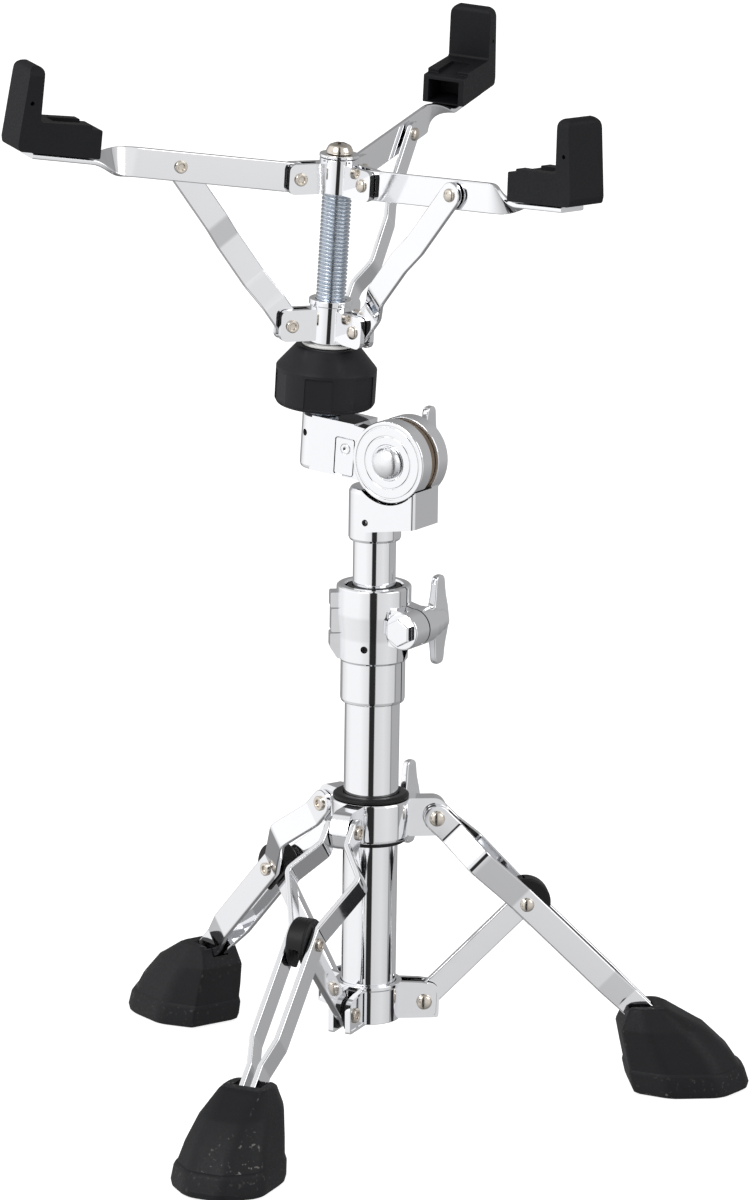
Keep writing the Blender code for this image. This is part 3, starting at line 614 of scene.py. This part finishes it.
def make_sliding_collar():
    reach, middle = LEG_PIVOT
    low, high = 139.7, 160.4
    profile = [(16.9, low), (20.5, low, 1.0), (20.7, low + 1.6, 1.0), (20.7, high - 1.2, 0.8), (20.2, high, 0.8),
               (16.9, high)]
    item = make_item("shown_sliding_collar", spun(profile, 0.4, 128), COLUMN)
    outline = [(17.9, low + 0.2, 0.3), (reach + 3.0, low + 0.2, 7.5), (reach + 8.1, middle, 3.0),
               (reach + 3.0, high - 0.2, 7.5), (17.9, high - 0.2, 0.3)]
    for number in NUMBERS:
        turn = COLUMN.inverted() @ LEGS[number]
        turn.translation = (0, 0, 0)
        join(item, slab(outline, -4.9, 4.9, 2.0), turn)
    bolt = COLUMN.inverted() @ COLLAR_BOLT @ along_y(0, middle)
    join(item, spun([(0, 17.9), (8.0, 17.9), (8.0, 26.0, 0.8), (0, 26.0)], 0.5, 48), bolt)
    cut(item, rod(16.9, low - 2, high + 2, SIDES))
    finish_piece(item, "chrome", "sliding_collar", bevel=1.4, angle=40)
    bush = [(14.6, low - 2.3), (18.4, low - 2.3, 0.6), (18.4, low - 0.3, 0.1), (16.6, low - 0.3, 0.1),
            (16.6, high + 0.4, 0.1), (19.8, high + 0.4, 0.4), (19.8, high + 2.0, 0.9), (18.0, high + 2.9, 0.9),
            (14.6, high + 2.9, 0.7)]
    simple("collar_bushing", spun(bush, 0.4, 128), COLUMN, "black_plastic")
    screw = [(0, 15.2), (3.0, 15.2), (3.0, 26.4, 0), (7.6, 26.4), (7.6, 29.4, 0.8), (6.2, 31.2, 0.8), (6.2, 38.5, 5.0),
             (0, 42.8)]
    inside = along_y(0, middle)
    item = make_item("shown_collar_wing_bolt", spun(screw, 0.4, 48), COLLAR_BOLT, inside)
    join(item, wing_shape(0.95), inside @ Matrix.Translation((0, 0, 35.6)) @ about_z(90))
    finish_piece(item, "chrome", "collar_wing_bolt", bevel=0.7, angle=35)


def make_leg(number):
    place = LEGS[number]
    along, length = between(LEG_PIVOT, BRACE_TIP)
    for side, name in ((1, "left"), (-1, "right")):
        line = [(x, side * y) for x, y in LEG_LINE]
        shape = bar(line, LEG_THICK, 7.0, corner=0.8, bend=5.0, round_end=False)
        simple(f"leg_{number}_{name}_bar", shape, place, "chrome", along)
    x, z = LEG_PIVOT
    rivet(f"shown_leg_{number}_rivet", place, f"leg_{number}_rivet", None, x, z, 8.4, 4.1)
    x, z = BRACE_TIP
    rivet(f"leg_{number}_middle_rivet", place, None, f"leg_{number}", x, z, 8.6, 3.7)
    spacer = make_item(f"shown_leg_{number}_spacer", spun([(0, -5.0), (13.0, -5.0, 1.2), (13.0, 5.0, 1.2), (0, 5.0)],
                                                         1.0, 48), place, along @ along_y(length, 0))
    slot = slab([(length - 10.2, -20.0), (length + 20.0, -20.0), (length + 20.0, 8.8), (length - 10.2, 8.8)], -2.8, 2.8)
    cut(spacer, slot, along)
    cut(spacer, block((length - 20.0, -6.0, -20.0), (length + 20.0, 6.0, -7.4)), along)
    finish_piece(spacer, "black_plastic", f"leg_{number}_spacer", bevel=0.5)
    make_foot(number)


def foot_ring(z, heel, toe, half, heel_half, corner):
    middle = heel + (toe - heel) * 0.28
    front = toe - corner * 0.95
    outline = [(heel, -heel_half, 3.0), (middle, -half, 16.0), (front, -half, 14.0), (toe, -half + corner, 12.0),
               (toe, half - corner, 12.0), (front, half, 14.0), (middle, half, 16.0), (heel, heel_half, 3.0)]
    return [(p.x, p.y, z) for p in fillet(outline, 3.0, steps=4)]


def make_foot(number):
    """A rubber foot with a lip round its sole, a tapered body and a neck that grips the leg."""
    levels = (
        (0.0, 142.0, 199.0, 24.2, 13.6, 14.8),
        (1.2, 139.8, 201.2, 25.4, 14.6, 15.6),
        (4.0, 138.6, 201.9, 26.0, 15.0, 16.0),
        (11.0, 136.9, 199.6, 25.2, 14.8, 15.2),
        (12.6, 137.0, 198.2, 24.4, 14.2, 14.6),
        (13.2, 137.2, 196.8, 23.9, 13.9, 14.3),
        (22.0, 135.2, 190.8, 22.2, 13.6, 13.0),
        (33.6, 132.7, 178.6, 19.1, 12.6, 10.2),
        (35.2, 133.0, 175.6, 18.3, 12.3, 9.4),
        (44.2, 136.6, 159.4, 13.4, 10.8, 3.6),
        (45.6, 138.4, 156.4, 12.2, 9.8, 3.2),
    )
    place = LEGS[number]
    along, _ = between(LEG_PIVOT, BRACE_TIP)
    item = make_item(f"shown_foot_{number}", loft([foot_ring(*level) for level in levels]), place)
    cut(item, block((100, -4.9, -7.4), (160.6, 4.9, 7.4)), along)
    cut(item, block((146.0, -7.6, -2.6), (156.0, 7.6, 9.8)), along)
    finish_piece(item, "scuffed_rubber", f"foot_{number}", bevel=0.6, angle=28)


def make_brace(number):
    place, length = between(BRACE_PIVOT, BRACE_TIP)
    shape = bar([(0, 0), (length, 0)], 3.9, 6.3, corner=0.8)
    simple(f"brace_{number}", shape, LEGS[number], "chrome", place)


# ---------------------------------------------------------------- height tube and tilter

def make_height_tube():
    low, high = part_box("upper_tube")
    simple("upper_tube", spun([(9.6, low.z / MM), (11.1, low.z / MM), (11.1, high.z / MM), (9.6, high.z / MM)], 0.4,
                              128), COLUMN, "chrome")
    bush = [(11.4, 214.0), (12.5, 214.0), (12.5, 266.3, 0.1), (14.2, 266.3, 0.2), (14.2, 272.6, 0.7), (13.2, 273.7, 0.6),
            (11.4, 273.7, 0.3)]
    simple("clamp_bushing", spun(bush, 0.3, 128), COLUMN, "black_plastic")


def make_tilter_base():
    """The lower casting: a socket on the tube, a block beside it, and the rear disc."""
    profile = [(11.4, 298.0, 0.4), (13.0, 298.0, 0.5), (13.65, 299.4, 0.6), (13.65, 323.6, 1.2), (12.4, 326.0, 1.5),
               (0, 326.0, 0), (0, 318.7, 0), (11.4, 318.7, 0.2)]
    item = make_item("shown_tilter_base", spun(profile, 0.4, SIDES), CLAMP)
    axle = along_y(TILT_OFFSET, TILT_Z)
    plan = fillet([(0.0, -13.55, 0), (32.2, -13.55, 2.6), (32.2, 11.0, 2.0), (0.0, 11.0, 0)], 1.0)
    join(item, loft([[(p.x, p.y, 303.5 + 0.17 * p.x) for p in plan], [(p.x, p.y, 331.0) for p in plan]]))
    cut(item, rod(DISC_R + 0.5, -16.0, 3.1, SIDES), axle)
    join(item, spun([(0, 2.8), (DISC_R, 2.8, 0.6), (DISC_R, 12.1, 0.9), (0, 12.1)], 0.6, 128), axle)
    cut(item, rod(3.9, -13, 13, 32), axle)
    cut(item, rod(1.8, -24, -12, 24), COLUMN_TO_CLAMP @ about_z(-22) @ along_y(0, 309.0))
    cut(item, rod(11.4, 290, 318.7, SIDES))
    finish_piece(item, "chrome", "tilter_base", bevel=0.8, angle=35)
    screw = COLUMN_TO_CLAMP @ about_z(-22) @ along_minus_y(0, 309.0)
    extra("base_set_screw", socket_screw(1.7, 11.6, 12.9, 0.9), CLAMP, "black_plastic", "mast", screw)


def make_tilter_arm():
    """The upper casting: a socket on the rod, an arm beside it, and the front disc."""
    to_rod = TILT.inverted() @ ROD
    rod_x = to_rod.translation.x / MM
    rod_z = to_rod.translation.z / MM
    rod_place = Matrix.Translation((rod_x, 0, rod_z))
    profile = [(0, ARM_LOW), (10.4, ARM_LOW, 1.4), (11.0, ARM_LOW + 2.0, 1.0), (11.0, -70.6, 1.0), (10.0, -69.2, 0.6),
               (8.0, -69.2, 0.3), (8.0, -89.3, 0.2), (0, -89.3)]
    item = make_item("shown_tilter_arm", spun(profile, 0.5, SIDES), TILT, rod_place)
    join(item, slab([(0.0, ARM_LOW), (26.0, ARM_LOW), (26.0, ARM_HIGH), (0.0, ARM_HIGH)], -10.95, 10.95), rod_place)
    reach = -rod_x - 8
    cheek = [(20.0, ARM_LOW), (reach, ARM_LOW), (reach, ARM_HIGH - 1.7), (20.0, ARM_HIGH)]
    join(item, slab(cheek, -10.95, -3.5), rod_place)
    disc = [(0, -3.1), (DISC_R, -3.1, 0.6), (DISC_R, -12.1, 1.1), (19.6, -12.1, 0.25), (19.3, -11.75, 0.2),
            (18.7, -11.75, 0.2), (18.4, -12.1, 0.25), (14.2, -12.1, 0.2), (13.9, -11.8, 0.2), (13.5, -11.8, 0.2),
            (13.2, -12.1, 0.2), (9.6, -12.1, 0.2), (9.3, -11.8, 0.2), (0, -11.8)]
    join(item, spun(disc, 0.4, 128), along_y(0, 0))
    cut(item, rod(8.0, -89.3, -60, 64), rod_place)
    cut(item, rod(3.9, -13, 13, 32), along_y(0, 0))
    key_x, key_z = rod_x + 21.0, rod_z - 87.6
    cut(item, slab([(key_x - 6.1, key_z - 10.1), (key_x + 6.1, key_z - 10.1), (key_x + 6.1, key_z + 10.1),
                    (key_x - 6.1, key_z + 10.1)], -12.0, -7.0, 1.6))
    set_screw = rod_place @ about_z(-24)
    cut(item, rod(1.8, -14, -6, 24), set_screw @ along_y(0, -79.5))
    finish_piece(item, "chrome", "tilter_arm", bevel=0.55, angle=35)
    extra("arm_set_screw", socket_screw(1.7, 8.2, 10.0, 0.9), TILT, "black_plastic", "tilter",
          set_screw @ along_minus_y(0, -79.5))
    key = make_item("shown_tilter_key_plate", slab([(key_x - 5.5, key_z - 9.5), (key_x + 5.5, key_z - 9.5),
                                                    (key_x + 5.5, key_z + 9.5), (key_x - 5.5, key_z + 9.5)],
                                                   -10.9, -7.4, 1.2), TILT)
    screw_place = along_minus_y(key_x + 0.5, key_z + 4.1)
    cut(key, spun([(0, 10.0), (3.1, 10.0), (3.1, 12.0), (0, 12.0)], 0.1, 32), screw_place)
    join(key, spun([(0, 9.0), (2.7, 9.0, 0), (2.7, 11.2, 0.4), (1.3, 11.2, 0.1), (1.3, 9.8, 0), (0, 9.8)], 0.1, 32),
         screw_place)
    finish_piece(key, "chrome", "tilter_key_plate", bevel=0.3)
    bolt = dome_head(12.3, 8.4, 5.2)
    item = make_item("shown_tilter_bolt", bolt, TILT, along_minus_y(0, 0))
    join(item, rod(3.5, -12.6, 27.0, 32), along_y(0, 0))
    finish_piece(item, "satin_chrome", "tilter_bolt")
    washer = [(3.9, -2.8), (19.6, -2.8), (19.6, 2.5), (3.9, 2.5)]
    simple("tilter_washer", spun(washer, 0.4, SIDES), TILT, "brown_fibre", along_y(0, 0))
    wing_nut("tilter_wing_nut", TILT, along_y(0, 0), 12.4, 24.8, 30.6)


# ---------------------------------------------------------------- basket

def thread(radius, root, low, high, pitch, sides=48):
    """A solid rod with a real right-hand thread, its two ends tapered to the root."""
    shape = bmesh.new()
    per_turn = 8
    count = int((high - low) / pitch * per_turn)
    rows = []
    for k in range(count + 1):
        row = []
        for i in range(sides):
            share = i / sides
            z = low + (high - low) * k / count
            phase = ((z - low) / pitch + share) % 1.0
            height = min(1.0, max(0.0, 1.5 - 3.0 * abs(phase - 0.5)))
            fade = min(1.0, (z - low) / pitch, (high - z) / pitch)
            size = root + (radius - root) * height * max(fade, 0.0)
            angle = 2 * math.pi * share
            row.append(shape.verts.new((size * math.cos(angle), size * math.sin(angle), z)))
        rows.append(row)
    for low_row, high_row in zip(rows, rows[1:]):
        for i in range(sides):
            j = (i + 1) % sides
            shape.faces.new((low_row[i], low_row[j], high_row[j], high_row[i]))
    shape.faces.new(rows[0])
    shape.faces.new(rows[-1])
    return shape


def make_rod():
    simple("threaded_rod", thread(ROD_R, 6.5, -89.0, 46.2, THREAD_PITCH), ROD, "zinc_thread")
    neck = [(5.4, 45.0), (5.4, 64.2), (2.9, 64.2), (2.9, 45.0)]
    extra("rod_neck", spun(neck, 0.1, 48), ROD, "zinc_thread", "tilter")
    head = [(0, 56.0), (2.6, 56.0, 0), (2.6, 66.7, 0), (6.9, 66.7, 0.4), (6.9, 68.2, 1.2), (5.6, 70.8, 2.2),
            (2.4, 72.1, 2.0), (0, 72.3)]
    item = make_item("shown_top_screw", spun(head, 0.2, 64), ROD)
    for turn in (25, 115):
        cut(item, block((-3.4, -0.75, 69.6), (3.4, 0.75, 74.0)), about_z(turn))
    cut(item, rod(1.5, 68.8, 74.0, 24))
    finish_piece(item, "rivet_metal", "top_screw", bevel=0.18)
    washer = [(2.9, 64.8), (10.2, 64.8), (10.2, 66.4), (2.9, 66.4)]
    simple("top_washer", spun(washer, 0.4, 64), ROD, "chrome")


def make_hub(node, profile, pivot, low, high):
    """A round centre with a forked ear for each arm or strut."""
    item = make_item("shown_" + node, spun(profile, 0.5, 64), ROD)
    reach = pivot[0]
    outline = [(7.5, low, 0.3), (reach + 6.3, low, 3.6), (reach + 6.3, high, 3.6), (7.5, high, 0.3)]
    for number in NUMBERS:
        turn = ROD.inverted() @ ARMS[number]
        turn.translation = (0, 0, 0)
        join(item, slab(outline, -4.7, 4.7, 1.0), turn)
    for number in NUMBERS:
        turn = ROD.inverted() @ ARMS[number]
        turn.translation = (0, 0, 0)
        cut(item, block((reach - 10.2, -1.9, low - 3), (reach + 12, 1.9, high + 3)), turn)
    return item


def make_hubs():
    upper = make_hub("upper_hub", [(5.7, 46.4), (10.0, 46.4), (10.0, 64.4), (5.7, 64.4)], ARM_PIVOT, 46.5, 62.3)
    cut(upper, rod(5.7, 40, 70, 48))
    finish_piece(upper, "chrome", "upper_hub", bevel=0.55, angle=35)
    lower_profile = [(8.0, -32.0), (10.4, -32.0), (10.4, -12.6, 0.2), (11.2, -12.2, 0.3), (11.2, -9.4), (8.0, -9.4)]
    lower = make_hub("lower_hub", lower_profile, STRUT_PIVOT, -30.4, -14.0)
    cut(lower, rod(8.0, -40, 0, 48))
    finish_piece(lower, "chrome", "lower_hub", bevel=0.55, angle=35)
    washer = [(8.0, -33.7), (13.4, -33.7), (13.4, -32.3), (8.0, -32.3)]
    simple("knob_washer", spun(washer, 0.4, 64), ROD, "white_nylon")


def make_knob():
    """A knob with a smooth cone over a skirt that has six flat recesses for the fingers."""
    profile = [(8.0, -65.2, 0.3), (24.6, -65.2, 1.6), (26.0, -62.8, 1.2), (26.1, -45.4, 1.0), (25.0, -44.0, 0.8),
               (17.0, -34.6, 1.2), (15.8, -34.0, 0.6), (8.0, -34.0, 0.3)]
    item = make_item("shown_height_knob", spun(profile, 0.5, 144), ROD)
    for k in range(6):
        angle = 60 * k - 5
        recess = slab([(24.5, -64.0, 0.8), (32.0, -64.0, 0), (32.0, -47.0, 0), (24.5, -47.0, 1.2)], -7.4, 7.4, 0.5)
        cut(item, recess, about_z(angle))
    finish_piece(item, "knob_plastic", "height_knob", bevel=0.5, angle=14)


def arm_twist(x):
    share = min(max((x - TWIST_START) / TWIST_LENGTH, 0.0), 1.0)
    turn = 90 * (3 * share ** 2 - 2 * share ** 3)
    return turn, -math.sin(math.radians(turn))


def make_arm(number):
    place = ARMS[number]
    along, length = between(ARM_PIVOT, STRUT_TIP)
    line = [(0, 0)] + [(TWIST_START + TWIST_LENGTH * k / 16, 0) for k in range(17)] + [(150.0, 0)]
    shape = bar(line, 2.7, 7.7, corner=0.7, bend=0, twist=arm_twist, round_end=False)
    simple(f"arm_{number}", shape, place, "chrome", along)
    x, z = ARM_PIVOT
    rivet(f"shown_arm_{number}_rivet", place, f"arm_{number}_rivet", None, x, z, 4.7, 3.5)
    x, z = STRUT_TIP
    rivet(f"arm_{number}_strut_rivet", place, None, f"arm_{number}", x, z, 3.1, 3.5, y_shift=-1.75)
    make_pad(number)


def make_pad(number):
    """The L-shaped rubber rest, with a pocket that takes the end of the arm."""
    place = ARMS[number]
    outline = [(137.0, 69.9, 1.0), (181.0, 75.3, 2.0), (181.6, 79.0, 3.0), (176.4, 118.6, 4.5), (168.7, 117.6, 3.4),
               (170.0, 89.8, 1.6), (142.0, 87.4, 0.6), (142.2, 85.4, 0.4), (136.4, 84.8, 0.8)]
    item = make_item(f"shown_pad_{number}", slab(outline, -11.5, 11.5, 1.0), place)
    face = [(-11.5, 60.0, 0), (11.5, 60.0, 0), (11.5, 118.6, 6.0), (-11.5, 118.6, 6.0)]
    front = loft([[(x, p.x, p.y) for p in fillet(face, 1.0, steps=6)] for x in (130.0, 190.0)])
    keep_inside(item, front)
    lean = between((137.0, 69.9), (181.0, 75.3))[0]
    cut(item, block((-4.0, -8.6, 0.9), (18.0, 8.6, 12.8)), lean)
    cut(item, block((6.0, -5.5, 14.6), (26.0, 5.5, 24.0)), lean)
    cut(item, rod(1.1, 8.0, 14.0, 20), along_y(175.0, 99.5))
    cut(item, rod(1.1, 8.0, 14.0, 20), along_minus_y(175.0, 99.5))
    finish_piece(item, "rubber", f"pad_{number}", bevel=0.9, angle=35)


def make_strut(number):
    along, length = between(STRUT_PIVOT, STRUT_TIP)
    line = [(length * share, aside) for share, aside in STRUT_STEPS]
    shape = bar(line, 2.6, 6.6, corner=0.7, bend=9.0)
    simple(f"strut_{number}", shape, ARMS[number], "chrome", along)
    x, z = STRUT_PIVOT
    rivet(f"shown_strut_{number}_rivet", ARMS[number], f"strut_{number}_rivet", None, x, z, 4.7, 3.5)


# ---------------------------------------------------------------- studio

def make_world():
    """A white studio with a narrow dark gap at the camera's side, which chrome shows as a black stripe."""
    world = bpy.data.worlds.new("studio")
    world.use_nodes = True
    nodes, links = world.node_tree.nodes, world.node_tree.links
    coordinates = nodes.new("ShaderNodeTexCoord")
    split = nodes.new("ShaderNodeSeparateXYZ")
    links.new(coordinates.outputs["Generated"], split.inputs["Vector"])
    flip = nodes.new("ShaderNodeMath")
    flip.operation = "MULTIPLY"
    flip.inputs[1].default_value = -1.0
    links.new(split.outputs["Y"], flip.inputs[0])
    angle = nodes.new("ShaderNodeMath")
    angle.operation = "ARCTAN2"
    links.new(split.outputs["X"], angle.inputs[0])
    links.new(flip.outputs["Value"], angle.inputs[1])
    turn = ranged(nodes, links, angle.outputs["Value"], 0.0, 1.0, -math.pi, math.pi)
    ramp = nodes.new("ShaderNodeValToRGB")
    stops = ((-180, 0.28), (-142, 0.34), (-130, 0.80), (-100, 1.0), (-48, 1.0), (-24, 0.86), (-13.5, 0.80), (-11, 0.025),
             (9, 0.025), (11.5, 0.72), (50, 0.80), (84, 0.66), (88, 0.22), (93, 0.42), (140, 0.42), (180, 0.28))
    elements = ramp.color_ramp.elements
    while len(elements) < len(stops):
        elements.new(0.5)
    for element, (degrees, value) in zip(elements, stops):
        element.position = degrees / 360 + 0.5
        element.color = (value, value, value * 1.01, 1.0)
    links.new(turn, ramp.inputs["Fac"])
    height = nodes.new("ShaderNodeValToRGB")
    levels = ((0.0, 0.35), (0.3, 0.8), (0.42, 1.0), (0.8, 1.0), (0.93, 0.75), (1.0, 0.9))
    elements = height.color_ramp.elements
    while len(elements) < len(levels):
        elements.new(0.5)
    for element, (position, value) in zip(elements, levels):
        element.position = position
        element.color = (value, value, value, 1.0)
    links.new(ranged(nodes, links, split.outputs["Z"], 0.0, 1.0, -1.0, 1.0), height.inputs["Fac"])
    product = nodes.new("ShaderNodeMix")
    product.data_type = "RGBA"
    product.blend_type = "MULTIPLY"
    product.inputs["Factor"].default_value = 1.0
    links.new(ramp.outputs["Color"], product.inputs["A"])
    links.new(height.outputs["Color"], product.inputs["B"])
    links.new(product.outputs["Result"], nodes["Background"].inputs["Color"])
    nodes["Background"].inputs["Strength"].default_value = 1.08
    bpy.context.scene.world = world


def make_floor():
    shape = bmesh.new()
    bmesh.ops.create_circle(shape, cap_ends=True, segments=96, radius=40.0)
    mesh = bpy.data.meshes.new("floor")
    shape.to_mesh(mesh)
    shape.free()
    floor = bpy.data.objects.new("floor", mesh)
    bpy.context.scene.collection.objects.link(floor)
    floor.location.z = -0.0004
    material, nodes, links, shader = new_material("floor")
    shader.inputs["Base Color"].default_value = (0.5, 0.5, 0.5, 1.0)
    shader.inputs["Roughness"].default_value = 0.9
    shader.inputs["Emission Color"].default_value = (1.0, 1.0, 1.0, 1.0)
    shader.inputs["Emission Strength"].default_value = 0.85
    mesh.materials.append(material)
    floor.visible_glossy = False


def make_light(name, location, target, size, power):
    data = bpy.data.lights.new(name, "AREA")
    data.size = size
    data.energy = power
    light = bpy.data.objects.new(name, data)
    bpy.context.scene.collection.objects.link(light)
    light.location = location
    light.rotation_euler = (Vector(target) - Vector(location)).to_track_quat("-Z", "Y").to_euler()


def make_camera():
    data = bpy.data.cameras.new("camera")
    data.lens = 205.49
    data.sensor_width = 36.0
    data.shift_x = 0.0005
    data.shift_y = -0.00425
    data.clip_end = 200.0
    camera = bpy.data.objects.new("camera", data)
    bpy.context.scene.collection.objects.link(camera)
    camera.matrix_world = (Matrix.Translation(column_origin() + Vector((0, -3.4358, 1.1013)))
                           @ Matrix.Rotation(math.radians(76.368), 4, "X") @ Matrix.Rotation(math.radians(0.84), 4, "Z"))
    bpy.context.scene.camera = camera


def make_stand():
    make_column()
    make_sliding_collar()
    for number in NUMBERS:
        make_leg(number)
        make_brace(number)
    make_height_tube()
    make_tilter_base()
    make_tilter_arm()
    make_rod()
    make_hubs()
    make_knob()
    for number in NUMBERS:
        make_arm(number)
        make_strut(number)


make_stand()
make_world()
make_floor()
make_light("key", (-1.3, -1.6, 2.0), (0, 0, 0.3), 1.2, 22.0)
make_light("fill", (1.8, -0.8, 1.4), (0, 0, 0.3), 1.4, 10.0)
make_camera()
bpy.context.scene.view_settings.view_transform = "Standard"
